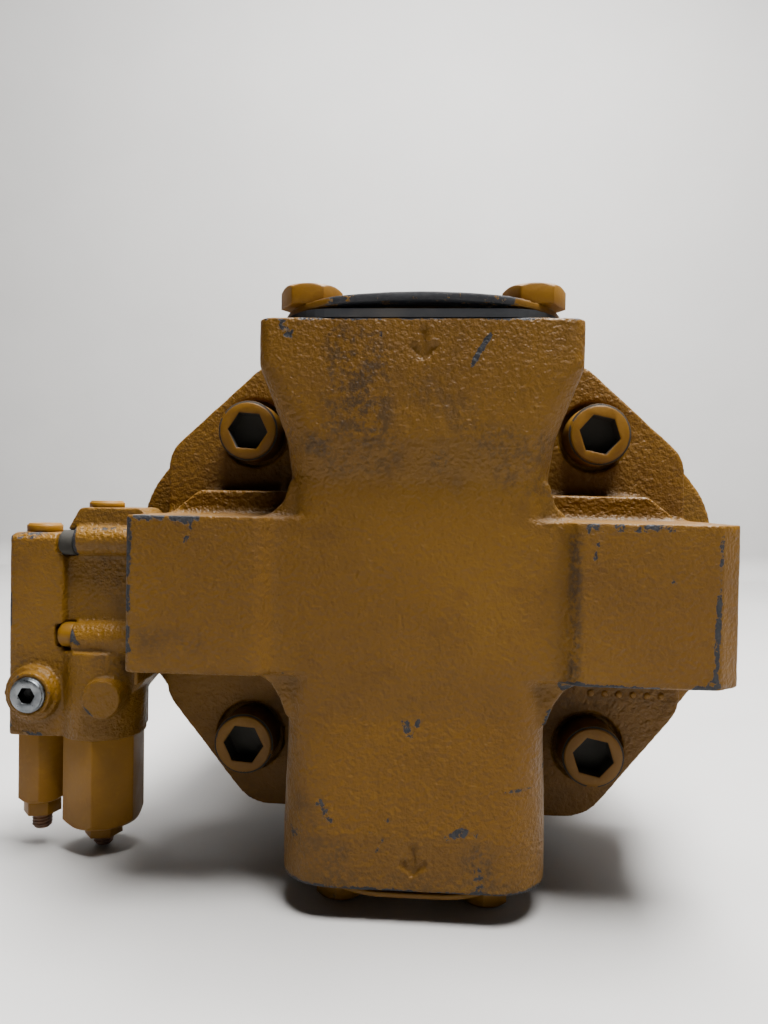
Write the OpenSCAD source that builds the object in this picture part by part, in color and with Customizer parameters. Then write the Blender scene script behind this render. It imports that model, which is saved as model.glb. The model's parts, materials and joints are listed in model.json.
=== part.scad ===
// Variable displacement axial piston pump with a two-spool control valve.
// Built as separate parts: castings, covers, rotating group, swash mechanism and control valve.
// Millimetres. Origin: centre of the mounting face on the shaft axis.
// +Y points along the shaft to the drive end, +Z to the suction port, +X to the bias piston side.

/* [Body lengths] */
// mounting face to the rear face of the port plate
rear_face = 217; // [214:1:222]
// mounting face to the joint between housing and port plate
joint_face = 142; // [141:0.5:143]
// mounting face to the rear surface of the port plate's base flange
base_face = 160; // [158:0.5:162]
// how far the middle of the rear face sits below the arms
rear_recess = 5; // [3:0.5:7]

/* [Port plate] */
// half height from the shaft axis to the suction face
suction_height = 97.4; // [95:0.1:99]
// half height from the shaft axis to the pressure face
pressure_height = 96.3; // [94:0.1:99]
// distance of the port axes from the mounting face
port_axis = 182; // [180:0.5:184]
// half width of the suction flange
suction_half = 55.2; // [54:0.2:57]
// half width of the pressure branch
pressure_half = 46.6; // [45:0.2:49]
// half width of the body between the suction flange and the arms
waist_half = 45.2; // [44:0.2:47]
// end of the left arm from the shaft axis
arm_left = 100.6; // [98:0.1:101]
// end of the right arm from the shaft axis
arm_right = 108.3; // [104:0.1:109]
// top of the arms above the shaft axis
arm_top = 29.6; // [28:0.1:32]
// bottom of the arms below the shaft axis
arm_bottom = 25; // [24:0.1:27]

/* [Ports] */
// suction port bore diameter
suction_bore = 50.8; // [44:0.2:52]
// pressure port bore diameter
pressure_bore = 25.4; // [22:0.2:28]
// suction bolt pattern, across the pump
suction_bolts_x = 77.8;
// suction bolt pattern, along the shaft
suction_bolts_y = 42.9;
// pressure bolt pattern, across the pump
pressure_bolts_x = 52.4;
// pressure bolt pattern, along the shaft
pressure_bolts_y = 26.2;

/* [Drive end] */
// pilot diameter
pilot_d = 127;
// pilot height
pilot_h = 12.7; // [10:0.1:12.7]
// distance between the two mounting holes
mount_spacing = 181;
// mounting hole diameter
mount_hole = 17.5; // [17:0.1:18]
// keyed shaft end diameter
shaft_end_d = 31.75; // [30:0.05:31.8]
// shaft end from the mounting face
shaft_end = 58; // [52:1:62]

/* [Rotating group] */
// number of pistons
piston_count = 9;
// piston diameter
piston_d = 20; // [18:0.2:20]
// pitch radius of the pistons
piston_pitch = 39; // [38.6:0.1:39.4]
// swash axis behind the mounting face
pivot_depth = 61; // [60.5:0.1:61.5]
// barrel radius
barrel_r = 54.5; // [53.5:0.1:55]

/* [Control pistons] */
// lever arm of the control pistons
lever_arm = 76; // [75:0.5:77]
// stroking piston radius
stroking_r = 12; // [11:0.2:12.4]
// bias piston radius
bias_r = 13; // [12.4:0.2:13]

/* [Control valve] */
// distance of the spool axes from the mounting face
spool_axis = 167; // [165:0.5:169]
// sideways position of the pressure spool
pressure_spool_x = -128.4; // [-128.6:0.1:-128]
// sideways position of the flow spool
flow_spool_x = -154.6; // [-154.8:0.1:-154.2]
// mounting plane of the valve
valve_plane = -105.6; // [-106:0.1:-105.5]

/* [Hidden] */
$fn = 64;
e = 0.02;
yr = -rear_face;
yj = -joint_face;
yb = -base_face;
yp = -port_axis;
yc = yr + rear_recess;
pv = -pivot_depth;
ys = -spool_axis;
screw_x = 69.1;
screw_z = 62.8;
screw_seat = yb + 3.7;
gasket_t = 0.5;
sole = pv + 10;
plate_t = 5;
barrel_back = yj + plate_t;
barrel_front = -80;
valve_top = 20.8;
valve_bottom = -60.5;
screw_y = [ys - 8, ys + 13];
screw_h = [17, -20];
port_x = -151.4;
port_y = ys - 18.5;
port_z = -42.4;

// --- helpers -------------------------------------------------------------

paint = [0.62, 0.42, 0.12];
steel = [0.62, 0.62, 0.64];
dark = [0.12, 0.12, 0.12];
bronze = [0.72, 0.55, 0.28];

// unit vector from a to b
function dir(a, b) = (b - a) / norm(b - a);

// points of the arc that rounds the corner b between a and c
function corner(a, b, c, r, n = 6) =
  let (u = dir(b, a), v = dir(b, c), half = acos(u * v) / 2, s = r / tan(half),
       m = dir([0, 0], u + v), o = b + m * (r / sin(half)),
       p = b + u * s, q = b + v * s,
       a0 = atan2(p[1] - o[1], p[0] - o[0]), a1 = atan2(q[1] - o[1], q[0] - o[0]),
       d = a1 - a0 > 180 ? a1 - a0 - 360 : (a1 - a0 < -180 ? a1 - a0 + 360 : a1 - a0))
  [for (i = [0 : n]) o + r * [cos(a0 + d * i / n), sin(a0 + d * i / n)]];

// polygon points with every corner rounded by its own radius
function rounded(p, r, n = 6) =
  [for (i = [0 : len(p) - 1])
    each r[i] < 0.01 ? [p[i]]
      : corner(p[(i + len(p) - 1) % len(p)], p[i], p[(i + 1) % len(p)], r[i], n)];

// the same radius everywhere
function all_round(p, r, n = 6) = rounded(p, [for (q = p) r], n);

// mirror a half outline (from top to bottom on the right) to a whole one
function both_sides(p) = concat(p, [for (i = [len(p) - 1 : -1 : 0]) [-p[i][0], p[i][1]]]);

// 2-D profile in X and Z, drawn from y0 to y1
module slab_y(y0, y1) {
  translate([0, y1, 0])
    rotate([90, 0, 0])
      linear_extrude(y1 - y0)
        children();
}

// cylinder along Y
module cyl_y(r, y0, y1, x = 0, z = 0, f = 64) {
  translate([x, y0, z])
    rotate([-90, 0, 0])
      cylinder(r = r, h = y1 - y0, $fn = f);
}

// cylinder along Z
module cyl_z(r, z0, z1, x = 0, y = 0, f = 64) {
  translate([x, y, z0])
    cylinder(r = r, h = z1 - z0, $fn = f);
}

// cylinder along X
module cyl_x(r, x0, x1, y = 0, z = 0, f = 48) {
  translate([x0, y, z])
    rotate([0, 90, 0])
      cylinder(r = r, h = x1 - x0, $fn = f);
}

// solid of revolution about the shaft, from [radius, y] points
module turned(p, f = 96) {
  rotate([-90, 0, 0])
    rotate_extrude($fn = f)
      polygon(p);
}

// four copies of a bolt at a rectangle's corners
module at_rect(sx, sy) {
  for (x = [-sx / 2, sx / 2], y = [-sy / 2, sy / 2])
    translate([x, y, 0])
      children();
}

// upright block with rounded vertical edges
module post(half_x, y0, y1, z0, z1, r) {
  translate([0, 0, z0])
    linear_extrude(z1 - z0)
      polygon(all_round([[half_x, y0], [half_x, y1], [-half_x, y1], [-half_x, y0]], r, 8));
}

// socket-head cap screw, head up, under-head plane at 0
module socket_screw(d, shank, head_r, head_h, key) {
  difference() {
    union() {
      cylinder(r = head_r - 0.8, h = head_h, $fn = 48);
      cylinder(r = head_r, h = head_h - 0.8, $fn = 48);
      translate([0, 0, -shank])
        cylinder(r = d / 2, h = shank + e, $fn = 40);
    }
    translate([0, 0, head_h - key * 0.6])
      cylinder(r = key / sqrt(3), h = key, $fn = 6);
  }
}

// hex bolt, head up, under-head plane at 0
module hex_bolt(d, shank, flats, head_h) {
  intersection() {
    cylinder(r = flats / sqrt(3), h = head_h, $fn = 6);
    cylinder(r1 = flats / sqrt(3) + head_h, r2 = flats / 2 - 0.1, h = head_h + 0.01, $fn = 48);
  }
  cylinder(r = flats * 0.47, h = head_h - 0.6, $fn = 48);
  translate([0, 0, -shank])
    cylinder(r = d / 2, h = shank + e, $fn = 40);
}

// hollow-hex screw plug, head up, seat plane at 0
module socket_plug(head_r, head_h, thread_r, depth, key) {
  difference() {
    union() {
      cylinder(r = head_r - 0.6, h = head_h, $fn = 48);
      cylinder(r = head_r, h = head_h - 0.6, $fn = 48);
      translate([0, 0, -depth])
        cylinder(r = thread_r, h = depth + e, $fn = 40);
    }
    translate([0, 0, head_h - key * 0.7])
      cylinder(r = key / sqrt(3), h = key, $fn = 6);
  }
}

// coil spring as stacked rings joined by short risers, along +Z
module coil(r, wire, length, turns) {
  pitch = (length - 2 * wire) / turns;
  for (i = [0 : turns])
    translate([0, 0, wire + i * pitch])
      rotate_extrude($fn = 40)
        translate([r, 0])
          circle(r = wire, $fn = 20);
  for (i = [0 : turns - 1])
    rotate([0, 0, i * 137])
      translate([r, 0, wire + i * pitch])
        cylinder(r = wire * 0.8, h = pitch, $fn = 16);
}

// --- castings ------------------------------------------------------------

base_outline = rounded(
  [[65.1, 91.5], [105.2, 54.9], [105.2, -46.5], [68.8, -91.5],
   [-68.8, -91.5], [-105.2, -46.5], [-105.2, 54.9], [-65.1, 91.5]],
  [12, 14, 16, 18, 18, 16, 14, 12]);

housing_outline = rounded(
  [[62, 96], [101, 62], [122, 36], [124.5, 0], [121, -36], [101, -60], [66, -95],
   [-66, -95], [-101, -60], [-121, -36], [-124.5, 0], [-122, 36], [-101, 62], [-62, 96]],
  [14, 30, 40, 60, 40, 30, 18, 18, 30, 40, 60, 40, 30, 14]);

// opening of the case at the joint
module case_opening(grow = 0) {
  circle(r = 62 + grow, $fn = 96);
  square([184 + 2 * grow, 34 + 2 * grow], center = true);
}

module mounting_flange_outline() {
  a = asin((70 - 17.5) / (mount_spacing / 2));
  circle(r = 70, $fn = 96);
  for (s = [-1, 1]) {
    translate([0, s * mount_spacing / 2])
      circle(r = 17.5, $fn = 64);
    polygon([[70 * cos(a), s * 70 * sin(a)], [17.5 * cos(a), s * (mount_spacing / 2 + 17.5 * sin(a))],
             [-17.5 * cos(a), s * (mount_spacing / 2 + 17.5 * sin(a))],
             [-70 * cos(a), s * 70 * sin(a)]]);
  }
}

module housing_outside() {
  slab_y(-22, 0)
    mounting_flange_outline();
  cyl_y(pilot_d / 2, -5, pilot_h, f = 128);
  cyl_y(71.5, -joint_face + 4, -10, f = 96);
  slab_y(yj, yj + 20)
    polygon(housing_outline);
  slab_y(yj + 4, -6)
    polygon(all_round([[101, 27], [101, -27], [-101, -27], [-101, 27]], 14));
  for (s = [-1, 1])
    slab_y(yj + 4, -14)
      polygon([[-15, 0], [15, 0], [11, s * 88], [-11, s * 88]]);
  // drain port bosses, top and bottom
  cyl_z(19, -88, 88, 0, -88, 48);
}

module pump_housing() {
  color(paint)
    difference() {
      housing_outside();
      // case
      difference() {
        union() {
          cyl_y(62, yj - 1, -19, f = 96);
          translate([-92, yj - 1, -17])
            cube([184, joint_face - 15.5 + 1, 34]);
        }
        // seats of the cradle bearings
        for (s = [-1, 1])
          difference() {
            translate([-30, -34, s > 0 ? 37 : -61])
              cube([60, 20, 24]);
            cyl_z(41.9, s > 0 ? 30 : -65, s > 0 ? 65 : -30, 0, pv, 96);
          }
      }
      // front bearing, shaft and seal bores
      cyl_y(36.02, -30, -1, f = 96);
      cyl_y(22, -3, 2);
      cyl_y(25.02, 0.5, pilot_h + 1);
      cyl_y(26.6, 9.5, 11.4);
      // mounting holes with spot faces
      for (s = [-1, 1]) {
        cyl_y(mount_hole / 2, -30, 5, 0, s * mount_spacing / 2);
        cyl_y(16, -40, -20.5, 0, s * (mount_spacing / 2 + 2), 48);
      }
      // port plate screws and dowels
      for (x = [-screw_x, screw_x], z = [-screw_z, screw_z])
        cyl_y(8.08, yj - 1, yj + 30, x, z, 40);
      for (s = [-1, 1])
        cyl_y(4.05, yj - 1, yj + 9, s * 98, s * 34, 32);
      // drain ports
      for (s = [0, 180])
        rotate([0, s, 0]) {
          cyl_z(11.1, 55, 90, 0, -88, 40);
          cyl_z(16, 86.5, 90, 0, -88, 48);
        }
    }
}

module port_body() {
  // base flange
  slab_y(yb, yj - gasket_t)
    polygon(base_outline);
  // raised web along the arms
  slab_y(yb - 20, yb + 2)
    polygon(all_round([[86, 38.8], [98, 29], [98, -24], [-98, -24], [-98, 29], [-86, 38.8]], 4));
  // middle body
  post(waist_half, yc, yb + 8, -90, 62, 10);
  // suction flange and the slope under it
  post(suction_half, yr, yr + 70, 82, suction_height, 5);
  hull() {
    post(suction_half, yr, yr + 70, 81.5, 82, 5);
    post(waist_half + 1.5, yr + 1, yr + 68, 57, 58, 12);
  }
  hull() {
    post(waist_half + 1.5, yr + 1, yr + 60, 57, 58, 12);
    post(waist_half, yc, yr + 56, 42, 43, 12);
  }
  // pressure flange and the slope above it
  post(pressure_half, yr, yr + 70, -pressure_height, -79, 18);
  hull() {
    post(pressure_half, yr, yr + 70, -79, -78, 18);
    post(waist_half, yc, yr + 58, -40, -39, 12);
  }
  // arms with their raised faces
  translate([0, 0, -arm_bottom])
    linear_extrude(arm_top + arm_bottom)
      polygon(rounded(
        [[-arm_left, yb + 3], [arm_right, yb + 3], [arm_right, yr + 6.5], [100.3, yr],
         [54.3, yr], [48.5, yc], [-48.5, yc], [-54.3, yr], [-arm_left, yr]],
        [0, 0, 3, 3, 5, 5, 5, 5, 2.5]));
  // corner fillets between arms and body
  for (s = [-1, 1]) {
    slab_y(yc + 3, yb + 2)
      polygon([[s * 40, 25], [s * 58, 29], [s * 51, 31], [s * 47, 35], [s * 45, 42], [s * 40, 46]]);
    slab_y(yc + 3, yb + 2)
      polygon([[s * 40, -20], [s * 58, -24.6], [s * 51, -28.5], [s * 47.6, -33.5],
               [s * 45.2, -40], [s * 40, -44]]);
  }
  // machined pad for the control valve
  translate([valve_plane, -196, arm_bottom * -1])
    cube([10, 36, 54]);
  translate([valve_plane, yb - 2, arm_bottom * -1])
    cube([10, 14, 54]);
}

// kidney passage: ring sector from y0 to y1
module kidney(r0, r1, a0, a1, y0, y1) {
  translate([0, y0, 0])
    rotate([90, 0, 0])
      rotate([0, 0, a0])
        translate([0, 0, -(y1 - y0)])
          rotate_extrude(angle = a1 - a0, $fn = 72)
            translate([r0, 0])
              square([r1 - r0, y1 - y0]);
}

module port_plate() {
  color(paint)
    difference() {
      port_body();
      // suction side
      cyl_z(suction_bore / 2, 32, suction_height + 1, 0, yp, 72);
      kidney(28, 38, 28, 152, yp, yj + 1);
      // pressure side
      cyl_z(pressure_bore / 2, -pressure_height - 1, -30, 0, yp, 64);
      kidney(28, 38, 212, 328, yp, yj + 1);
      // cover bolts
      translate([0, yp, suction_height - 24])
        at_rect(suction_bolts_x, suction_bolts_y)
          cylinder(r = 6.08, h = 30, $fn = 40);
      translate([0, yp, -pressure_height - 6])
        at_rect(pressure_bolts_x, pressure_bolts_y)
          cylinder(r = 5.08, h = 26, $fn = 40);
      // rear bearing
      cyl_y(23.52, -159, yj + 1, f = 72);
      // screws with spot faces
      for (x = [-screw_x, screw_x], z = [-screw_z, screw_z]) {
        cyl_y(8.75, yb - 1, yj + 1, x, z, 48);
        cyl_y(14.2, yb - 30, screw_seat, x, z, 48);
      }
      for (s = [-1, 1])
        cyl_y(4.05, yj - 9, yj + 1, s * 98, s * 34, 32);
      cyl_y(2.55, yj - 8, yj + 1, -46, 0, 24);
      // control piston bores
      cyl_y(stroking_r + 0.06, -200, yj + 1, -lever_arm, 0);
      cyl_y(bias_r + 0.06, -198, yj + 1, lever_arm, 0);
      // oil way from the stroking chamber to the control valve
      translate([valve_plane, -172, 0])
        rotate([0, 0, -48])
          cyl_x(2, -2, 27, 0, 0, 24);
      // valve screw threads
      for (y = screw_y, z = screw_h)
        cyl_x(3.08, valve_plane - 1, valve_plane + 15, y, z, 24);
    }
}

module joint_gasket() {
  color(dark)
    difference() {
      slab_y(yj - gasket_t + 0.02, yj - 0.02)
        polygon(base_outline);
      slab_y(yj - 2, yj + 2)
        case_opening(0.5);
      for (x = [-screw_x, screw_x], z = [-screw_z, screw_z])
        cyl_y(8.6, yj - 2, yj + 2, x, z, 40);
      for (s = [-1, 1])
        cyl_y(4.4, yj - 2, yj + 2, s * 98, s * 34, 32);
    }
}

module port_plate_screws() {
  color(paint)
    for (x = [-screw_x, screw_x], z = [-screw_z, screw_z])
      translate([x, screw_seat, z])
        rotate([90, x > 0 ? 12 : 4, 0])
          socket_screw(16, 33, 12, 16, 14);
}

module locating_pins() {
  color(steel) {
    for (s = [-1, 1])
      cyl_y(4, yj - 8, yj + 8, s * 98, s * 34, 32);
    cyl_y(2.5, yj - 7, yj + 3.5, -46, 0, 24);
  }
}

// --- port covers ---------------------------------------------------------

// plate bowed across X, lower face starts at the height z at its ends
module bowed_plate(half, depth, rise, t) {
  rb = (half * half + rise * rise) / (2 * rise);
  a = asin(half / rb);
  translate([0, depth / 2, rise - rb])
    rotate([90, 0, 0])
      rotate([0, 0, 90 - a])
        rotate_extrude(angle = 2 * a, $fn = 256)
          translate([rb, 0])
            square([t, depth]);
}

module cover_plan(half, depth, r) {
  translate([0, 0, -5])
    linear_extrude(30)
      polygon(all_round([[half, -depth / 2], [half, depth / 2], [-half, depth / 2],
                         [-half, -depth / 2]], r, 10));
}

module suction_cover_plate() {
  color(paint)
    translate([0, yp, suction_height + 1.2])
      difference() {
        intersection() {
          bowed_plate(50, 72, 4.8, 2.4);
          cover_plan(49.3, 71, 24);
        }
        // bolt holes and the flats pressed in by the heads
        at_rect(suction_bolts_x, suction_bolts_y) {
          translate([0, 0, -5])
            cylinder(r = 6.7, h = 20, $fn = 36);
          translate([0, 0, 4.38])
            cylinder(r = 11.3, h = 5, $fn = 48);
        }
      }
}

module suction_cover_gasket() {
  color(dark)
    translate([0, yp, suction_height + 0.02])
      difference() {
        intersection() {
          cover_plan(51, 70, 22);
          slab_y(-40, 40)
            polygon([[-52, 0], [52, 0], [52, 0.7], [45, 1.9], [38, 2.8], [-38, 2.8], [-45, 1.9], [-52, 0.7]]);
        }
        at_rect(suction_bolts_x, suction_bolts_y)
          translate([0, 0, -5])
            cylinder(r = 6.7, h = 20, $fn = 36);
      }
}

module suction_cover_bolts() {
  color(paint)
    translate([0, yp, suction_height + 5.6])
      at_rect(suction_bolts_x, suction_bolts_y)
        hex_bolt(12, 25, 19, 7);
}

module pressure_cover_plate() {
  color(paint)
    translate([0, yp, -pressure_height - 2.1])
      mirror([0, 0, 1])
        difference() {
          intersection() {
            bowed_plate(37, 60, 1.2, 1.8);
            cover_plan(36.5, 59, 25);
          }
          at_rect(pressure_bolts_x, pressure_bolts_y)
            translate([0, 0, -5])
              cylinder(r = 5.6, h = 20, $fn = 36);
        }
}

module pressure_cover_gasket() {
  color(dark)
    translate([0, yp, -pressure_height - 0.02])
      mirror([0, 0, 1])
        difference() {
          intersection() {
            cover_plan(37, 58.4, 25);
            translate([-60, -40, 0])
              cube([120, 80, 2]);
          }
          at_rect(pressure_bolts_x, pressure_bolts_y)
            translate([0, 0, -5])
              cylinder(r = 5.6, h = 20, $fn = 36);
        }
}

module pressure_cover_bolts() {
  color(paint)
    translate([0, yp, -pressure_height - 4.95])
      mirror([0, 0, 1])
        at_rect(pressure_bolts_x, pressure_bolts_y)
          rotate([0, 0, 25])
            hex_bolt(10, 22, 16, 6.35);
}

// screw plugs: case drains top and bottom, spool bores of the control valve
module blanking_plugs() {
  color(paint) {
    for (s = [0, 180])
      rotate([0, s, 0])
        translate([0, -88, 86.55])
          socket_plug(15.5, 4, 11, 18, 12);
    translate([flow_spool_x, ys, valve_top + 0.05])
      socket_plug(6.9, 3.4, 5.5, 8, 5);
    translate([pressure_spool_x, ys, 31.25])
      socket_plug(6.9, 2.6, 5.5, 8, 5);
  }
}

// --- bearings and seal ---------------------------------------------------

// tapered roller bearing built round its roller's middle point.
// rm: pitch radius, rr: roller radius, rl: roller length, b: axis angle, g: roller half angle
module roller_set(rm, rr, rl, b, g, count, y, s) {
  translate([0, y, 0])
    for (i = [0 : count - 1])
      rotate([0, i * 360 / count, 0])
        translate([rm, 0, 0])
          rotate([0, 0, s * -b])
            translate([0, s * -rl / 2, 0])
              rotate([s * -90, 0, 0])
                cylinder(r1 = rr - rl / 2 * tan(g), r2 = rr + rl / 2 * tan(g), h = rl, $fn = 24);
  // cage: two end rings
  translate([0, y, 0])
    for (k = [-1, 1])
      turned([[rm + k * (rl / 2 + 0.6) * sin(b) - 1.7, s * k * (rl / 2 + 0.4)],
              [rm + k * (rl / 2 + 0.6) * sin(b) + 1.7, s * k * (rl / 2 + 0.4)],
              [rm + k * (rl / 2 + 0.6) * sin(b) + 1.7, s * k * (rl / 2 + 1.8)],
              [rm + k * (rl / 2 + 0.6) * sin(b) - 1.7, s * k * (rl / 2 + 1.8)]]);
}

// outer ring, s = 1 when the large end faces +Y
module cup(ro, rm, rr, b, g, y, s, h0, h1) {
  rc = rm + (rr + 0.12) / cos(b + g);
  t = tan(b + g);
  turned([[rc + h0 * t, y + s * h0], [ro, y + s * h0], [ro, y + s * h1], [rc + h1 * t, y + s * h1]]);
}

// inner ring with its rib at the large end
module cone(ri, rm, rr, b, g, y, s, h0, h1, rib) {
  rc = rm - (rr + 0.12) / cos(b - g);
  t = tan(b - g);
  turned([[ri, y + s * h0], [rc + h0 * t, y + s * h0], [rc + rib * t, y + s * rib],
          [rc + rib * t + rr * 0.35, y + s * rib], [rc + h1 * t + rr * 0.35, y + s * h1],
          [ri, y + s * h1]]);
}

module bearing_cups() {
  color(steel) {
    cup(36, 27.2, 4.4, 12, 1.6, -14, 1, -11, 9.5);
    cup(23.5, 18.4, 2.9, 12, 1.6, -151, -1, -6, 6);
  }
}

module bearing_cones() {
  color(steel) {
    cone(17.5, 27.2, 4.4, 12, 1.6, -14, 1, -11.5, 12.4, 9.6);
    cone(12.5, 18.4, 2.9, 12, 1.6, -151, -1, -7.5, 7.6, 6.1);
  }
}

module front_bearing_rollers() {
  color(steel)
    roller_set(27.2, 4.4, 16, 12, 1.6, 16, -14, 1);
}

module rear_bearing_rollers() {
  color(steel)
    roller_set(18.4, 2.9, 9.4, 12, 1.6, 16, -151, -1);
}

module shaft_seal() {
  color(dark)
    turned([[17.55, 2.2], [19, 1.2], [24.98, 1.2], [24.98, 9], [21.5, 9], [21.5, 6],
            [19.5, 5], [17.55, 3.4]]);
}

module seal_snap_ring() {
  color(steel)
    difference() {
      turned([[22.6, 9.7], [26.4, 9.7], [26.4, 11.1], [22.6, 11.1]]);
      translate([-5, 9, -30])
        cube([10, 3, 14]);
      for (s = [-1, 1])
        cyl_y(0.9, 9, 12, s * 8, -23.2, 16);
    }
}

// --- rotating group ------------------------------------------------------

module spline_teeth(r0, r1, count, w, y0, y1) {
  for (i = [0 : count - 1])
    rotate([0, i * 360 / count, 0])
      translate([r0, y0, -w / 2])
        cube([r1 - r0, y1 - y0, w]);
}

module drive_shaft() {
  color(steel)
    difference() {
      union() {
        turned([[0, -158.4], [11.7, -158.4], [12.48, -157.6], [12.48, -142.9], [15.4, -142.9],
                [15.4, -130], [15.2, -128], [15.2, -62], [17, -58], [17, -31], [20, -31],
                [20, -26.4], [17.48, -26.4], [17.48, 14], [shaft_end_d / 2, 15.6],
                [shaft_end_d / 2, shaft_end - 2], [shaft_end_d / 2 - 2, shaft_end],
                [0, shaft_end]], 96);
        spline_teeth(14, 16.6, 16, 2.6, -101, -64);
      }
      // keyway and centre drillings
      translate([-3.97, 18, shaft_end_d / 2 - 4])
        cube([7.94, 40.5, 10]);
      translate([0, shaft_end + 0.01, 0])
        rotate([90, 0, 0])
          cylinder(r1 = 4, r2 = 0.6, h = 8, $fn = 32);
    }
}

module shaft_key() {
  color(steel)
    translate([-3.95, 18.2, shaft_end_d / 2 - 3.95])
      cube([7.9, 38, 7.9]);
}

module at_pistons() {
  for (i = [0 : piston_count - 1])
    rotate([0, -i * 360 / piston_count, 0])
      children();
}

module cylinder_barrel() {
  color(steel)
    difference() {
      turned([[15.5, barrel_front], [barrel_r - 6, barrel_front], [barrel_r - 2, barrel_front - 4],
              [barrel_r - 2, -112], [barrel_r, -113], [barrel_r, barrel_back + 2],
              [barrel_r - 1, barrel_back + 0.05], [22.5, barrel_back + 0.05], [22.5, -103],
              [15.5, -103]], 120);
      at_pistons() {
        cyl_y(piston_d / 2 + 0.06, -131, barrel_front + 1, piston_pitch, 0, 56);
        rotate([0, 11, 0])
          kidney(29.5, 38, 0, 22, barrel_back - 1, -130);
      }
      // pressure pin holes
      for (i = [0 : 2])
        rotate([0, i * 120 + 20, 0])
          cyl_y(1.6, -104, barrel_front + 1, 19.2, 0, 20);
      spline_teeth(14, 16.9, 16, 2.9, -104, -79);
      cyl_y(23.6, -134, -132.2, f = 64);
    }
}

module barrel_spring() {
  color(steel)
    translate([0, -131.4, 0])
      rotate([-90, 0, 0])
        coil(19.4, 1.7, 26.1, 4);
}

// washers at both ends of the barrel spring, their snap ring and the pressure pins
module barrel_spring_seats() {
  color(steel) {
    turned([[17.2, -134], [23.3, -134], [23.3, -132.4], [17.2, -132.4]]);
    turned([[17.2, -105.1], [22.2, -105.1], [22.2, -103.3], [17.2, -103.3]]);
    for (i = [0 : 2])
      rotate([0, i * 120 + 20, 0])
        cyl_y(1.5, -103.2, -78.15, 19.2, 0, 20);
  }
}

module retaining_ball() {
  color(steel)
    translate([0, pv, 0])
      rotate([-90, 0, 0])
        rotate_extrude($fn = 96)
          difference() {
            union() {
              intersection() {
                circle(r = 22, $fn = 96);
                translate([0, -8])
                  square([30, 15.5]);
              }
              translate([10, -17])
                square([10.4, 12]);
            }
            translate([-1, -30])
              square([18.1, 60]);
          }
}

module retaining_plate() {
  color(steel)
    difference() {
      cyl_y(51.5, pv + 1.3, pv + 4.7, f = 120);
      translate([0, pv, 0])
        sphere(r = 22.2, $fn = 96);
      at_pistons()
        cyl_y(10.4, pv, pv + 8, piston_pitch + 0.9, 0, 48);
    }
}

module valve_plate() {
  color(bronze)
    difference() {
      turned([[24.2, yj + 0.05], [53, yj + 0.05], [53, yj + 4], [52, yj + plate_t - 0.02],
              [24.2, yj + plate_t - 0.02]], 120);
      kidney(28.5, 37.5, 30, 150, yj - 1, yj + 8);
      for (a = [212, 252, 292])
        kidney(28.5, 37.5, a, a + 36, yj - 1, yj + 8);
      cyl_y(2.6, yj - 1, yj + 8, -46, 0, 24);
    }
}

module piston(i) {
  color(steel)
    rotate([0, -(i - 1) * 360 / piston_count, 0])
      translate([piston_pitch, pv, 0])
        difference() {
          union() {
            sphere(r = 6.5, $fn = 48);
            cyl_y(4.2, -12, -3, f = 40);
            turned([[0, -56], [piston_d / 2 - 0.8, -56], [piston_d / 2, -55.2],
                    [piston_d / 2, -15], [piston_d / 2 - 1.5, -12], [4.2, -10.5], [0, -10.5]], 56);
          }
          cyl_y(6, -60, -22, f = 40);
          cyl_y(0.9, -30, 8, f = 16);
        }
}

module slipper(i) {
  color(bronze)
    rotate([0, -(i - 1) * 360 / piston_count, 0])
      translate([piston_pitch, pv, 0])
        rotate([-90, 0, 0])
          rotate_extrude($fn = 56)
            difference() {
              polygon([[0.9, 9.1], [7.5, 9.1], [7.5, 9.82], [11.2, 9.82], [12, 9.2], [12, 4.9],
                       [8, 4.9], [8, -1.6], [7.2, -2.4], [6.2, -2.4], [6.2, 0], [0.9, 0]]);
              circle(r = 6.6, $fn = 48);
            }
}

module piston_1() { piston(1); }
module piston_2() { piston(2); }
module piston_3() { piston(3); }
module piston_4() { piston(4); }
module piston_5() { piston(5); }
module piston_6() { piston(6); }
module piston_7() { piston(7); }
module piston_8() { piston(8); }
module piston_9() { piston(9); }
module slipper_1() { slipper(1); }
module slipper_2() { slipper(2); }
module slipper_3() { slipper(3); }
module slipper_4() { slipper(4); }
module slipper_5() { slipper(5); }
module slipper_6() { slipper(6); }
module slipper_7() { slipper(7); }
module slipper_8() { slipper(8); }
module slipper_9() { slipper(9); }

// --- swash mechanism -----------------------------------------------------

module swashplate() {
  color(steel)
    difference() {
      union() {
        cyl_y(58, sole, sole + 8, f = 120);
        // journals that turn in the cradle
        for (s = [-1, 1])
          intersection() {
            cyl_z(40, s > 0 ? 38.5 : -51, s > 0 ? 51 : -38.5, 0, pv, 120);
            translate([-27, sole + 1, -60])
              cube([54, 40, 120]);
          }
        // bridge between the journals
        intersection() {
          translate([-29, sole + 1, -50])
            cube([58, 10, 100]);
          cyl_z(39.4, -50, 50, 0, pv, 96);
        }
        // ears for the control pistons
        for (s = [-1, 1])
          slab_y(pv + 8, pv + 17)
            polygon(rounded([[s * 50, 16], [s * 74, 13], [s * 87, 13], [s * 87, -13],
                             [s * 74, -13], [s * 50, -16]], [0, 0, 6, 6, 0, 0]));
      }
      cyl_y(26, sole - 10, sole + 40, f = 96);
      // relief behind the running face, so the ears stand clear of the slippers
      cyl_y(57.9, pv + 6, sole, f = 120);
    }
}

module cradle_bearings() {
  color(bronze)
    for (s = [-1, 1])
      intersection() {
        difference() {
          cyl_z(41.85, s > 0 ? 39 : -53, s > 0 ? 53 : -39, 0, pv, 120);
          cyl_z(40.06, s > 0 ? 38 : -58, s > 0 ? 58 : -38, 0, pv, 120);
        }
        translate([-28.5, -40, -70])
          cube([57, 30, 140]);
      }
}

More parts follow.
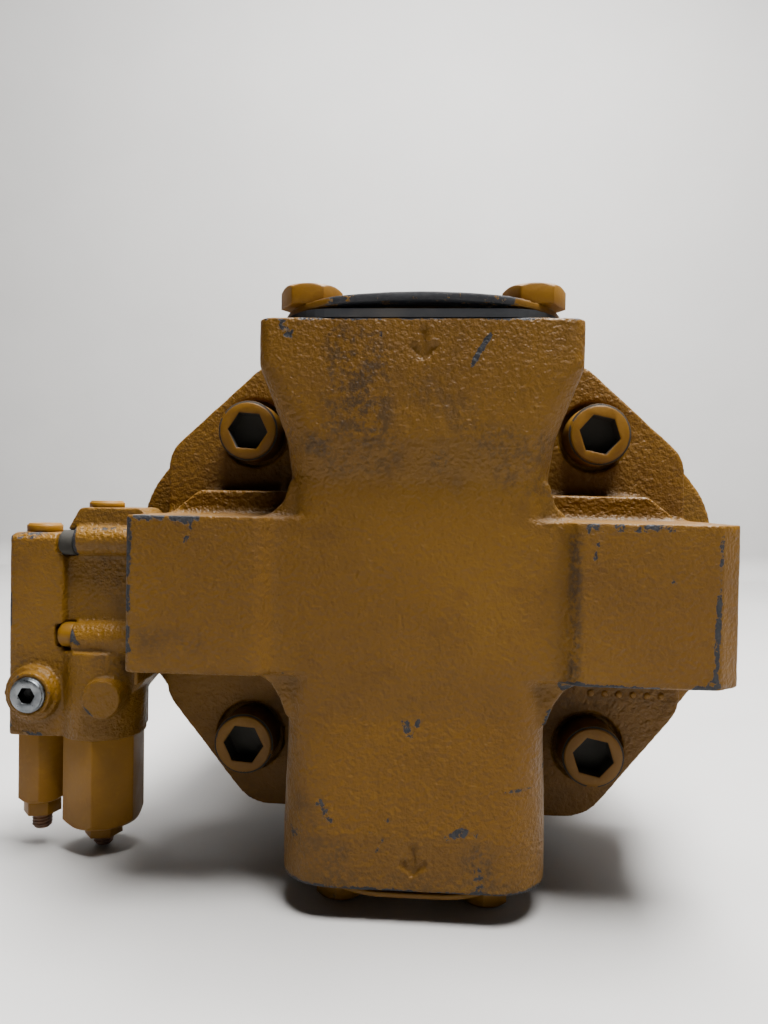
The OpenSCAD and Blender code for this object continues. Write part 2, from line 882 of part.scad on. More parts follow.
module stroking_piston() {
  color(steel)
    translate([-lever_arm, 0, 0])
      difference() {
        union() {
          turned([[0, -166], [stroking_r - 1, -166], [stroking_r, -165], [stroking_r, -96],
                  [stroking_r - 2, -94], [6.5, -88], [6.5, pv - 3], [0, pv - 3]], 56);
          translate([0, pv - 0.3, 0])
            sphere(r = 8, $fn = 48);
        }
        cyl_y(6, -170, -110, f = 40);
        for (y = [-158, -152])
          turned([[stroking_r - 0.6, y], [stroking_r + 1, y], [stroking_r + 1, y + 1],
                  [stroking_r - 0.6, y + 1]], 56);
      }
}

module bias_piston() {
  color(steel)
    translate([lever_arm, 0, 0])
      difference() {
        union() {
          turned([[0, -186], [bias_r - 1, -186], [bias_r, -185], [bias_r, -93],
                  [bias_r - 2, -91], [6.5, -85], [6.5, pv - 3], [0, pv - 3]], 56);
          translate([0, pv - 0.3, 0])
            sphere(r = 8, $fn = 48);
        }
        cyl_y(10.6, -190, -100, f = 48);
      }
}

module bias_spring() {
  color(steel)
    translate([lever_arm, -197.8, 0])
      rotate([-90, 0, 0])
        coil(8.6, 1.6, 97.5, 12);
}

// --- control valve -------------------------------------------------------

// chamfer of width c along X at the edge (y, z)
module chamfer_x(x0, x1, y, z, c) {
  translate([x0, y, z])
    rotate([45, 0, 0])
      translate([0, -c * 0.707, -c * 0.707])
        cube([x1 - x0, c * 1.414, c * 1.414]);
}

module valve_outside() {
  // flow column, its upper edges broken
  difference() {
    translate([0, 0, valve_bottom])
      linear_extrude(valve_top - valve_bottom)
        polygon(all_round([[-163.6, ys - 11.5], [-163.6, ys + 11.5], [-141, ys + 11.5],
                           [-141, ys - 11.5]], 2));
    chamfer_x(-170, -136, ys - 11.5, valve_top, 2.4);
    translate([-163.6, ys - 20, valve_top])
      rotate([0, 45, 0])
        translate([-1.2, 0, -1.2])
          cube([2.4, 40, 2.4]);
  }
  // pressure column with its sloping shoulder, set back from the flow column
  slab_y(ys - 8, ys + 13)
    polygon(rounded([[-147, valve_bottom], [-147, valve_top - 3], [-142.2, valve_top - 0.3], [-136.2, 31.2],
                     [-112, 31.2], [-107.3, 27], [-107.3, -36], [-114.8, -45], [-114.8, valve_bottom]],
                    [0, 0, 3, 3, 2, 2, 2, 3, 0]));
  cyl_z(16.6, valve_bottom, -26, pressure_spool_x, ys, 72);
  // web between the columns above the pilot port
  slab_y(ys - 11.5, ys)
    polygon([[-145, valve_bottom], [-145, -26], [-139, -31], [-139, valve_bottom]]);
  // foot on the pump
  translate([-107.3, -190, -36])
    cube([107.3 + valve_plane - 0.15, 45, 64]);
  // screw bosses
  for (y = screw_y) {
    cyl_x(5.9, -136.8, -107.4, y, screw_h[0] + 1);
    cyl_x(6.9, -136.8, -107.4, y, screw_h[1] - 1);
  }
  // pilot port boss and blank boss
  cyl_y(8.8, port_y, ys - 5, port_x, port_z, 48);
  cyl_y(11, ys - 14.5, ys - 5, port_x - 1, port_z - 0.5, 48);
  cyl_y(7.6, ys - 19.5, ys - 5, pressure_spool_x + 6.4, -43, 48);
}

module valve_block() {
  color(paint)
    difference() {
      valve_outside();
      // spool bores and spring chambers
      cyl_z(4.05, -30, 25, pressure_spool_x, ys, 32);
      cyl_z(11, valve_bottom - 1, -24, pressure_spool_x, ys, 48);
      cyl_z(11.58, valve_bottom - 1, valve_bottom + 8.4, pressure_spool_x, ys, 48);
      cyl_z(5.55, 22, 40, pressure_spool_x, ys, 32);
      cyl_z(4.05, -40, 18, flow_spool_x, ys, 32);
      cyl_z(6, valve_bottom - 1, -24, flow_spool_x, ys, 40);
      cyl_z(7.38, valve_bottom - 1, valve_bottom + 8.4, flow_spool_x, ys, 40);
      cyl_z(5.55, 11, 30, flow_spool_x, ys, 32);
      // ways between the spools and to the pump
      cyl_x(2, flow_spool_x, pressure_spool_x, ys, 8, 20);
      translate([valve_plane, -172, 0])
        rotate([0, 0, 165.4])
          cyl_x(2, -1, 20, 0, 0, 20);
      // pilot port
      cyl_y(5.55, ys - 30, ys - 8.6, port_x, port_z, 32);
      cyl_y(7.2, ys - 30, port_y + 0.9, port_x, port_z, 40);
      cyl_y(2, ys - 9, ys, port_x, port_z, 20);
      // mounting screws
      for (y = screw_y, z = screw_h) {
        cyl_x(3.3, -143, valve_plane + 1, y, z, 28);
        cyl_x(5.3, -144.5, -136.9, y, z, 32);
      }
    }
}

module valve_screws() {
  color(paint)
    for (y = screw_y, z = screw_h)
      translate([-136.95, y, z])
        rotate([0, -90, 0])
          socket_screw(6, 44, 5, 6, 5);
}

module pilot_port_plug() {
  color(steel)
    translate([port_x, port_y + 0.85, port_z])
      rotate([90, 0, 0])
        socket_plug(6.9, 2.4, 5.5, 8.5, 6);
}

module spool(x, z0, z1, waist) {
  color(steel)
    translate([x, ys, 0])
      rotate_extrude($fn = 32)
        polygon([[0, z0], [4, z0], [4, z0 + 16], [2.4, z0 + 17], [2.4, waist], [4, waist + 1],
                 [4, z1], [0, z1]]);
}

module pressure_spool() {
  spool(pressure_spool_x, -23, 19, 2);
}

module flow_spool() {
  spool(flow_spool_x, -23, 8, 0);
}

module adjuster_springs() {
  color(steel) {
    translate([pressure_spool_x, ys, -72.9])
      coil(7.6, 1.5, 45.6, 7);
    translate([flow_spool_x, ys, -73.9])
      coil(4.4, 0.9, 46.6, 9);
  }
}

// upper seat between the spool and its spring, kept on the spool's axis
module pressure_spring_seat() {
  color(steel)
    translate([pressure_spool_x, ys, 0])
      rotate_extrude($fn = 48)
        polygon([[0, -77], [9.2, -77], [9.2, -73.1], [5.5, -73.1], [5.5, -69], [0, -69]]);
}

module flow_spring_seat() {
  color(steel)
    translate([flow_spool_x, ys, 0])
      rotate_extrude($fn = 40)
        polygon([[0, -77], [5.6, -77], [5.6, -74.1], [3, -74.1], [3, -70], [0, -70]]);
}

module adjusting_screw(x, z0) {
  color(steel)
    translate([x, ys, 0])
      difference() {
        rotate_extrude($fn = 40)
          polygon([[0, z0], [3.4, z0], [4, z0 + 0.8], [4, -78.4], [3.2, -77.1], [0, -77.1]]);
        translate([0, 0, z0 - 1])
          cylinder(r = 4 / sqrt(3), h = 4, $fn = 6);
      }
}

module pressure_adjusting_screw() {
  adjusting_screw(pressure_spool_x, -107.3);
}

module flow_adjusting_screw() {
  adjusting_screw(flow_spool_x, -101.6);
}

// hex sleeve that closes a spring chamber
module cap(x, flats, bore, wall, z_end, turn) {
  translate([x, ys, 0])
    difference() {
      union() {
        intersection() {
          translate([0, 0, z_end])
            rotate([0, 0, turn])
              cylinder(r = flats / sqrt(3), h = valve_bottom - z_end - 0.05, $fn = 6);
          translate([0, 0, z_end])
            cylinder(r1 = flats / 2 - 0.5, r2 = flats / 2 + 60, h = 60, $fn = 64);
        }
        translate([0, 0, valve_bottom - 1])
          cylinder(r = bore + wall, h = 9, $fn = 48);
      }
      translate([0, 0, -80])
        cylinder(r = bore, h = 40, $fn = 48);
      translate([0, 0, z_end - 1])
        cylinder(r = 4.08, h = 30, $fn = 40);
    }
}

// sleeves and lock nuts of both adjusters
module adjuster_caps() {
  color(paint) {
    cap(pressure_spool_x, 28, 9.6, 1.9, -97, 36);
    cap(flow_spool_x, 17, 5.9, 1.4, -89.4, 47.5);
    lock_nut(pressure_spool_x, -103);
    lock_nut(flow_spool_x, -95);
  }
}

module lock_nut(x, z0) {
  translate([x, ys, z0])
    difference() {
      rotate([0, 0, 12])
        cylinder(r = 13 / sqrt(3), h = 5.4, $fn = 6);
      translate([0, 0, -1])
        cylinder(r = 4.08, h = 10, $fn = 40);
    }
}

// --- output ----------------------------------------------------------------

pump_housing();
port_plate();
joint_gasket();
port_plate_screws();
locating_pins();
suction_cover_plate();
suction_cover_gasket();
suction_cover_bolts();
pressure_cover_plate();
pressure_cover_gasket();
pressure_cover_bolts();
blanking_plugs();
bearing_cups();
bearing_cones();
front_bearing_rollers();
rear_bearing_rollers();
shaft_seal();
seal_snap_ring();
drive_shaft();
shaft_key();
cylinder_barrel();
barrel_spring();
barrel_spring_seats();
retaining_ball();
retaining_plate();
valve_plate();
cradle_bearings();
swashplate();
stroking_piston();
bias_piston();
bias_spring();
piston_1();
piston_2();
piston_3();
piston_4();
piston_5();
piston_6();
piston_7();
piston_8();
piston_9();
slipper_1();
slipper_2();
slipper_3();
slipper_4();
slipper_5();
slipper_6();
slipper_7();
slipper_8();
slipper_9();
valve_block();
valve_screws();
pilot_port_plug();
pressure_spool();
flow_spool();
adjuster_springs();
pressure_spring_seat();
flow_spring_seat();
pressure_adjusting_screw();
flow_adjusting_screw();
adjuster_caps();
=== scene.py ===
import json
import math

import bmesh
import bpy
import numpy as np
from mathutils import Matrix, Vector, noise


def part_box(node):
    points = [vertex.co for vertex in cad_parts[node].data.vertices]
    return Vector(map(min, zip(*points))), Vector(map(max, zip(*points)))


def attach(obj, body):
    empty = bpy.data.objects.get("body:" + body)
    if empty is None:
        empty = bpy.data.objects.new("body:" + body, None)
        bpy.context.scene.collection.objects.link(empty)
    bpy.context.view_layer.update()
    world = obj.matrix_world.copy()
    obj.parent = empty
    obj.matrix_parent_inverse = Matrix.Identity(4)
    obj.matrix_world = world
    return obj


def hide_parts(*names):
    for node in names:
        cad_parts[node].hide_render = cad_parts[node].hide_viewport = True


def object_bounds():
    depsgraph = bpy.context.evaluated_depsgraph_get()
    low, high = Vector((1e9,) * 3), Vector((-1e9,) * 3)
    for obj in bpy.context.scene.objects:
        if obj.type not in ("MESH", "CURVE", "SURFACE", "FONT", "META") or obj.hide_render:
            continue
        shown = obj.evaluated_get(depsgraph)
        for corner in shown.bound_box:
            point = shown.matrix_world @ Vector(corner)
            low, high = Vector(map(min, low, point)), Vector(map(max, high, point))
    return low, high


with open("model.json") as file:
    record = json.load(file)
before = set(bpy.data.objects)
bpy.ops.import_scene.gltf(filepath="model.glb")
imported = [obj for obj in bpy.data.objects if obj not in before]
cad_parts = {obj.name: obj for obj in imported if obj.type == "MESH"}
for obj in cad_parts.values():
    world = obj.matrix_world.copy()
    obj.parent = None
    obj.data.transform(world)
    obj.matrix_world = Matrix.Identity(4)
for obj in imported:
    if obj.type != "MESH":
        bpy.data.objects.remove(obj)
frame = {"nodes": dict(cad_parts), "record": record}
NODES = frame["nodes"]
cad_box = [list(v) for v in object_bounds()]
MM = 0.001

# the control valve's two adjusters, in millimetres: X of each axis, and the Y that they share
PRESSURE_X, FLOW_X, ADJUSTER_Y = -128.4, -154.6, -167


# ---------------------------------------------------------------- camera

# place in millimetres, angles in degrees
REAR_FACE_Y = -217
CAMERA_X, CAMERA_DISTANCE, CAMERA_Z = 5.89, 258.07, 36.24
YAW, PITCH, ROLL = -3.784, 0.924, 0.960
LENS, SENSOR = 27.06, 36.0


def add_camera():
    yaw, pitch, roll = (math.radians(angle) for angle in (YAW, PITCH, ROLL))
    forward = Vector((math.sin(yaw) * math.cos(pitch), math.cos(yaw) * math.cos(pitch), -math.sin(pitch)))
    level = forward.cross(Vector((0, 0, 1))).normalized()
    upright = level.cross(forward)
    right = math.cos(roll) * level + math.sin(roll) * upright
    up = -math.sin(roll) * level + math.cos(roll) * upright
    place = Matrix((right, up, -forward)).transposed().to_4x4()
    place.translation = Vector((CAMERA_X * MM, (REAR_FACE_Y - CAMERA_DISTANCE) * MM, CAMERA_Z * MM))
    cam = bpy.data.cameras.new("camera")
    cam.sensor_width = SENSOR
    cam.lens = LENS
    cam.clip_start = 0.01
    cam.clip_end = 20
    ob = bpy.data.objects.new("camera", cam)
    bpy.context.scene.collection.objects.link(ob)
    ob.matrix_world = place
    bpy.context.scene.camera = ob


# ---------------------------------------------------------------- mesh tools

def mesh_object(name, verts, faces):
    me = bpy.data.meshes.new(name)
    me.from_pydata([tuple(v) for v in verts], [], faces)
    me.validate()
    me.update()
    me.polygons.foreach_set("use_smooth", [True] * len(me.polygons))
    ob = bpy.data.objects.new(name, me)
    bpy.context.scene.collection.objects.link(ob)
    return ob


def dense_copy(node, voxel, name):
    """Voxel skin of a CAD node, as a new object."""
    src = NODES[node]
    ob = bpy.data.objects.new(name, src.data.copy())
    bpy.context.scene.collection.objects.link(ob)
    ob.data.materials.clear()
    mod = ob.modifiers.new("skin", "REMESH")
    mod.mode = "VOXEL"
    mod.voxel_size = voxel
    mod.adaptivity = 0
    dg = bpy.context.evaluated_depsgraph_get()
    me = bpy.data.meshes.new_from_object(ob.evaluated_get(dg))
    old = ob.data
    ob.modifiers.clear()
    ob.data = me
    bpy.data.meshes.remove(old)
    me.name = name
    return ob


def arrays(me):
    """Vertex places and edges as arrays."""
    co = np.empty(len(me.vertices) * 3)
    me.vertices.foreach_get("co", co)
    ed = np.empty(len(me.edges) * 2, np.int64)
    me.edges.foreach_get("vertices", ed)
    return co.reshape(-1, 3), ed.reshape(-1, 2)


def neighbours(co, ed):
    """How many edges meet at each vertex."""
    n = len(co)
    return np.maximum(np.bincount(ed[:, 0], minlength=n) + np.bincount(ed[:, 1], minlength=n), 1)


def smooth_step(co, ed, count, factor):
    """Move every vertex part of the way to the average of its neighbours."""
    n = len(co)
    average = np.empty_like(co)
    for k in range(3):
        total = np.bincount(ed[:, 0], co[ed[:, 1], k], n) + np.bincount(ed[:, 1], co[ed[:, 0], k], n)
        average[:, k] = total / count
    return co + (average - co) * factor


def relax(co, ed, steps, factor):
    count = neighbours(co, ed)
    for _ in range(steps):
        co = smooth_step(co, ed, count, factor)
    return co


def fillet(me, co, ed, steps, erode):
    """Fill inner corners generously and take only a little off outer edges."""
    count = neighbours(co, ed)
    first_erosion, side_share = 0.2, 0.4
    for i in range(steps):
        if i % 4 == 0:
            set_co(me, co)
            no = normals_of(me)
        move = smooth_step(co, ed, count, 0.5) - co
        along = (move * no).sum(1)
        side = move - along[:, None] * no
        # the first two rounds also clear the ridges that the voxels leave
        loss = erode if i > 1 else max(erode, first_erosion)
        gain = np.where(along > 0, 1.0, loss)
        co = co + side * side_share + no * (along * gain)[:, None]
    return co


def normals_of(me):
    no = np.empty(len(me.vertices) * 3)
    me.vertices.foreach_get("normal", no)
    return no.reshape(-1, 3)


def set_co(me, co):
    me.vertices.foreach_set("co", co.astype(np.float32).ravel())
    me.update()


def add_attribute(me, name, values):
    at = me.attributes.new(name, "FLOAT", "POINT")
    at.data.foreach_set("value", np.clip(values, 0, 1).astype(np.float32))


def field(co, size, seed, octaves=1):
    """Smooth noise at every vertex, about -1 to 1."""
    out = np.empty(len(co))
    off = Vector((seed * 17.3, seed * 5.1, seed * 9.7))
    for i, c in enumerate(co):
        p = Vector(c) / size + off
        out[i] = noise.noise(p) if octaves == 1 else noise.fractal(p, 1.0, 2.0, octaves)
    return out


def segment_distance(p, a, b):
    """Distance of every point from the line between a and b."""
    a, b = np.array(a, float), np.array(b, float)
    d = b - a
    t = np.clip(((p - a) @ d) / max(d @ d, 1e-12), 0, 1)
    return np.linalg.norm(p - a - t[:, None] * d, axis=1)


def ramp(x, low, high):
    """Smooth rise from 0 at low to 1 at high."""
    t = np.clip((x - low) / (high - low), 0, 1)
    return t * t * (3 - 2 * t)


# ---------------------------------------------------------------- materials

class Graph:
    """Small helper that builds a node material."""

    def __init__(self, name):
        self.mat = bpy.data.materials.new(name)
        self.mat.use_nodes = True
        self.t = self.mat.node_tree
        self.t.nodes.clear()
        self.out = self.new("ShaderNodeOutputMaterial")
        self.bsdf = self.new("ShaderNodeBsdfPrincipled")
        self.link(self.bsdf.outputs["BSDF"], self.out.inputs["Surface"])
        self.coord = self.new("ShaderNodeTexCoord").outputs["Object"]

    def new(self, kind):
        return self.t.nodes.new(kind)

    def link(self, a, b):
        self.t.links.new(a, b)

    def put(self, value, sock):
        if isinstance(value, (int, float)):
            sock.default_value = value
        elif isinstance(value, tuple):
            sock.default_value = value if len(value) == len(sock.default_value) else (*value, 1)
        else:
            self.link(value, sock)

    def noise(self, scale, detail=2.0, rough=0.5, coord=None, distortion=0.0):
        n = self.new("ShaderNodeTexNoise")
        n.inputs["Scale"].default_value = scale
        n.inputs["Detail"].default_value = detail
        n.inputs["Roughness"].default_value = rough
        n.inputs["Distortion"].default_value = distortion
        self.link(coord or self.coord, n.inputs["Vector"])
        return n.outputs["Fac"]

    def stretch(self, x, y, z):
        n = self.new("ShaderNodeMapping")
        n.inputs["Scale"].default_value = (x, y, z)
        self.link(self.coord, n.inputs["Vector"])
        return n.outputs["Vector"]

    def math(self, op, a, b=0.0, clamp=False):
        n = self.new("ShaderNodeMath")
        n.operation = op
        n.use_clamp = clamp
        self.put(a, n.inputs[0])
        self.put(b, n.inputs[1])
        return n.outputs[0]

    def times(self, a, b):
        return self.math("MULTIPLY", a, b)

    def plus(self, a, b, clamp=False):
        return self.math("ADD", a, b, clamp)

    def minus(self, a, b):
        return self.math("SUBTRACT", a, b)

    def step(self, x, low, high):
        n = self.new("ShaderNodeMapRange")
        n.interpolation_type = "SMOOTHSTEP"
        n.clamp = True
        self.put(x, n.inputs["Value"])
        n.inputs["From Min"].default_value = low
        n.inputs["From Max"].default_value = high
        return n.outputs["Result"]

    def mix(self, fac, a, b):
        """Between two colours. The node's colour sockets are inputs 6 and 7 and output 2."""
        n = self.new("ShaderNodeMix")
        n.data_type = "RGBA"
        self.put(fac, n.inputs["Factor"])
        self.put(a, n.inputs[6])
        self.put(b, n.inputs[7])
        return n.outputs[2]

    def blend(self, fac, a, b):
        """Between two numbers."""
        n = self.new("ShaderNodeMix")
        n.data_type = "FLOAT"
        self.put(fac, n.inputs["Factor"])
        self.put(a, n.inputs[2])
        self.put(b, n.inputs[3])
        return n.outputs[0]

    def attribute(self, name):
        n = self.new("ShaderNodeAttribute")
        n.attribute_name = name
        return n.outputs["Fac"]

    def zone(self, half, limit, strength):
        """A strength that fades out at a half width from X = 0, and holds only where Y is below the limit."""
        xyz = self.new("ShaderNodeSeparateXYZ")
        self.link(self.coord, xyz.inputs["Vector"])
        off_middle = self.math("ABSOLUTE", xyz.outputs["X"])
        near = self.minus(1.0, self.step(off_middle, half * 0.75, half))
        rear = self.minus(1.0, self.step(xyz.outputs["Y"], limit - 0.0015, limit))
        return self.times(self.times(near, rear), strength)

    def edge(self, radius, samples=4):
        """0 on flats, towards 1 on edges."""
        b = self.new("ShaderNodeBevel")
        b.samples = samples
        b.inputs["Radius"].default_value = radius
        g = self.new("ShaderNodeNewGeometry")
        d = self.new("ShaderNodeVectorMath")
        d.operation = "DOT_PRODUCT"
        self.link(b.outputs["Normal"], d.inputs[0])
        self.link(g.outputs["Normal"], d.inputs[1])
        return self.step(self.minus(1.0, d.outputs["Value"]), 0.02, 0.18), b.outputs["Normal"]

    def bump(self, height, distance, strength=1.0, normal=None):
        n = self.new("ShaderNodeBump")
        n.inputs["Strength"].default_value = strength
        n.inputs["Distance"].default_value = distance
        self.link(height, n.inputs["Height"])
        if normal is not None:
            self.link(normal, n.inputs["Normal"])
        return n.outputs["Normal"]

    def set(self, **kw):
        names = {"color": "Base Color", "metal": "Metallic", "rough": "Roughness", "normal": "Normal",
                 "spec": "Specular IOR Level"}
        for k, v in kw.items():
            self.put(v, self.bsdf.inputs[names[k]])
        return self.mat


PAINT, PAINT_LIGHT = (0.104, 0.046, 0.0016), (0.136, 0.063, 0.0026)
PAINT_DARK, PAINT_FLECK = (0.074, 0.031, 0.0015), (0.165, 0.080, 0.004)
# the soil colour darkens dirt films and stains, and is also painted shade in hollows and in some of the
# stains
CHIP_RIM, SOIL_AND_SHADE = (0.165, 0.085, 0.014), (0.020, 0.014, 0.009)
IRON_DARK, IRON_LIGHT = (0.007, 0.008, 0.011), (0.032, 0.032, 0.035)
# painted shade in hex sockets, and the bare black head of one valve screw
SOCKET_SHADE_AND_BARE_HEAD = (0.030, 0.028, 0.024)


def toned(color, tone):
    return tuple(c * tone for c in color)


def paint(name, dense=False, cast=1.0, chips=1.0, dirt_and_shade=1.0, tone=1.0, worn=None):
    """Ochre paint over cast iron or steel: orange peel, dirt, chips showing dark metal, painted shade in
    hollows and hex sockets. A dense skin carries its wear, dirt, stains and painted shade as attributes; any
    other part finds its edges by a bevel."""
    g = Graph(name)
    big = g.noise(9, 3, 0.55)
    mid = g.noise(60, 3, 0.6)
    fine = g.noise(420, 2, 0.5)
    base = g.mix(g.step(big, 0.35, 0.68), toned(PAINT, tone), toned(PAINT_LIGHT, tone))
    base = g.mix(g.times(g.step(mid, 0.50, 0.78), 0.45), base, toned(PAINT_DARK, tone))
    base = g.mix(g.times(g.step(fine, 0.52, 0.75), 0.20), base, toned(PAINT_FLECK, tone))
    # cast surface under the paint
    peel = g.plus(g.times(g.noise(640, 2, 0.55), 1.20), g.times(g.noise(300, 1, 0.5), 0.30))
    if dense:
        edge, hollow_dirt_and_shade, mark, stain_and_shade = (g.attribute(k) for k in ("wear", "hollow_dirt_and_shade", "mark", "stain_and_shade"))
        normal = None
    else:
        edge, normal = g.edge(0.0009, 4)
    # dirt as thin films; on a dense skin also dirt and painted shade in hollows, and stains, some of which
    # are painted shade
    film = g.step(g.noise(22, 4, 0.62, distortion=0.4), 0.55, 0.78)
    soil_and_shade = g.times(film, 0.34 * dirt_and_shade)
    if dense:
        soil_and_shade = g.plus(soil_and_shade, g.times(hollow_dirt_and_shade, 0.55 * dirt_and_shade), clamp=True)
        speck = g.plus(g.noise(520, 4, 0.7), g.times(g.noise(120, 3, 0.6), 0.6))
        # stains, and the painted shade given in the stain lists, as specks of the soil colour
        soil_and_shade = g.plus(soil_and_shade, g.times(stain_and_shade, g.times(g.step(speck, 0.70, 0.92), 0.85)), clamp=True)
    base = g.mix(soil_and_shade, base, SOIL_AND_SHADE)
    # chips: edges first, then the places that were knocked
    grit = g.noise(430, 4, 0.68, distortion=0.5)
    coarse = g.noise(95, 3, 0.6)
    score = g.plus(g.times(edge, 0.20), g.times(grit, 0.78))
    score = g.plus(score, g.times(coarse, 0.62))
    if dense:
        score = g.plus(score, g.times(mark, 0.41))
    if worn is not None:
        score = g.plus(score, g.zone(*worn))
    cut = 1.03 - 0.035 * (chips - 1)
    chip = g.step(score, cut, cut + 0.03)
    rim = g.step(score, cut - 0.035, cut)
    base = g.mix(g.times(rim, 0.35), base, toned(CHIP_RIM, tone))
    base = g.mix(chip, base, g.mix(g.noise(500, 2, 0.5), IRON_DARK, IRON_LIGHT))
    rough = g.blend(chip, g.blend(g.step(mid, 0.3, 0.7), 0.46, 0.56), 0.62)
    if not dense:
        # painted shade in hex sockets, and the bare black head of one valve screw
        base = g.mix(g.attribute("inside"), base, SOCKET_SHADE_AND_BARE_HEAD)
        rough = g.blend(g.attribute("inside"), rough, 0.92)
    height = g.minus(g.times(peel, cast), g.times(chip, 0.5))
    return g.set(color=base, rough=rough, normal=g.bump(height, 0.00078, 0.92, normal), spec=0.21)


def metal(name, dark, light, rough, scratch=0.35, brush=(1, 1, 1)):
    """Bare machined metal with tool marks; brush stretches them along an axis."""
    g = Graph(name)
    edge, normal = g.edge(0.0004, 3)
    cloud = g.noise(120, 3, 0.6)
    line = g.noise(900, 2, 0.5, g.stretch(*brush))
    color = g.mix(g.step(cloud, 0.3, 0.7), dark, light)
    # painted highlight: edges up to 1.35 times lighter than the light tone
    color = g.mix(g.times(edge, 0.35), color, tuple(min(1, x * 1.35) for x in light))
    # painted shade inside the hex socket
    color = g.mix(g.attribute("inside"), color, (0.012, 0.012, 0.012))
    rough = g.plus(rough, g.times(g.minus(line, 0.5), scratch), clamp=True)
    return g.set(color=color, metal=1.0, rough=rough, normal=g.bump(line, 0.00006, 0.6, normal))


def rubber(name):
    g = Graph(name)
    grain = g.noise(180, 3, 0.6)
    dust = g.step(g.noise(40, 4, 0.6), 0.52, 0.75)
    color = g.mix(g.times(dust, 0.5), (0.012, 0.013, 0.016), (0.055, 0.048, 0.042))
    return g.set(color=color, rough=g.blend(grain, 0.55, 0.8), normal=g.bump(grain, 0.0002, 0.5), spec=0.35)


def rusty(name):
    g = Graph(name)
    grain = g.noise(300, 4, 0.65)
    bare = g.step(g.noise(90, 3, 0.6), 0.55, 0.72)
    color = g.mix(g.step(grain, 0.35, 0.65), (0.085, 0.042, 0.024), (0.19, 0.095, 0.05))
    color = g.mix(bare, color, (0.06, 0.05, 0.045))
    return g.set(color=color, metal=g.blend(bare, 0.1, 0.7), rough=g.blend(grain, 0.5, 0.75),
                 normal=g.bump(grain, 0.00012, 0.7))


def pale(name, color, scale, depth, rough):
    g = Graph(name)
    broad = g.noise(scale, 4, 0.55)
    fine = g.noise(scale * 6, 3, 0.5)
    tint = g.mix(g.step(broad, 0.3, 0.7), color, toned(color, 0.96))
    height = g.plus(broad, g.times(fine, 0.12))
    return g.set(color=tint, rough=rough, normal=g.bump(height, depth, 0.5), spec=0.3)


def dress(ob, mat):
    ob.data.materials.clear()
    ob.data.materials.append(mat)
    ob.data.polygons.foreach_set("material_index", [0] * len(ob.data.polygons))
    ob.data.update()


# ---------------------------------------------------------------- castings

def casting(node, voxel, steps, name, mat, erode=0.1, pits=0.07, marks=(), stains_and_shade=(), carve=None, bores=()):
    """Filleted, slightly uneven skin over a CAD casting, with wear, dirt, stains and painted shade written as
    attributes.
    """
    ob = dense_copy(node, voxel, name)
    me = ob.data
    co, ed = arrays(me)
    co = fillet(me, co, ed, steps, erode)
    set_co(me, co)
    no = normals_of(me)
    # millimetres by which a point stands proud of its surroundings, and below 0 in a corner
    reach = 2.4 * MM
    wide = relax(co, ed, int(round((reach / voxel) ** 2)) + 4, 0.5)
    out = ((co - wide) * no).sum(1) / MM
    uneven = field(co, 0.012, 3) * 0.10 + field(co, 0.0034, 5) * pits + field(co, 0.0017, 8) * pits * 0.6
    co = co + no * uneven[:, None] * MM
    if carve is not None:
        co = co - no * carve(co, no)[:, None]
    for bore in bores:
        co = open_bore(co, *bore)
    lo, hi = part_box(node)
    co = np.clip(co, np.array(lo), np.array(hi))
    set_co(me, co)
    add_attribute(me, "wear", out / 0.42)
    # dirt and painted shade in hollows, darker the deeper the corner
    add_attribute(me, "hollow_dirt_and_shade", (-out - 0.03) / 0.45)
    add_attribute(me, "mark", patches(co, marks))
    add_attribute(me, "stain_and_shade", patches(co, stains_and_shade))
    me.polygons.foreach_set("use_smooth", [True] * len(me.polygons))
    dress(ob, mat)
    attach(ob, "case")
    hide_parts(node)


def open_bore(co, x, z, radius, y0, y1):
    """Keep the skin clear of a bore along Y that a piston runs in."""
    p = co / MM
    dx, dz = p[:, 0] - x, p[:, 2] - z
    r = np.maximum(np.hypot(dx, dz), 1e-6)
    inside = (p[:, 1] > y0) & (p[:, 1] < y1) & (r < radius)
    grow = np.where(inside, radius / r, 1.0)
    p[:, 0], p[:, 2] = x + dx * grow, z + dz * grow
    return p * MM


def patches(co, marks):
    """Strength of the knocks, stains and painted shade at every vertex: each is a line from a to b in X and
    Z, a depth range in Y, a radius and a strength."""
    out = np.zeros(len(co))
    p = co / MM
    for (x0, z0), (x1, z1), (y0, y1), r, s in marks:
        d = segment_distance(p[:, [0, 2]], (x0, z0), (x1, z1)) / r
        inside = (p[:, 1] > y0) & (p[:, 1] < y1)
        out = np.maximum(out, np.where(inside, s * (1 - ramp(d, 0.25, 1.0)), 0))
    return out


# depth ranges in Y: the rear face, the ends of the arms, the rims of the flanges, the flanks
FACE, ARM_END, RIM, FLANK = (-218, -205), (-218, -209), (-218, -204), (-216, -195)

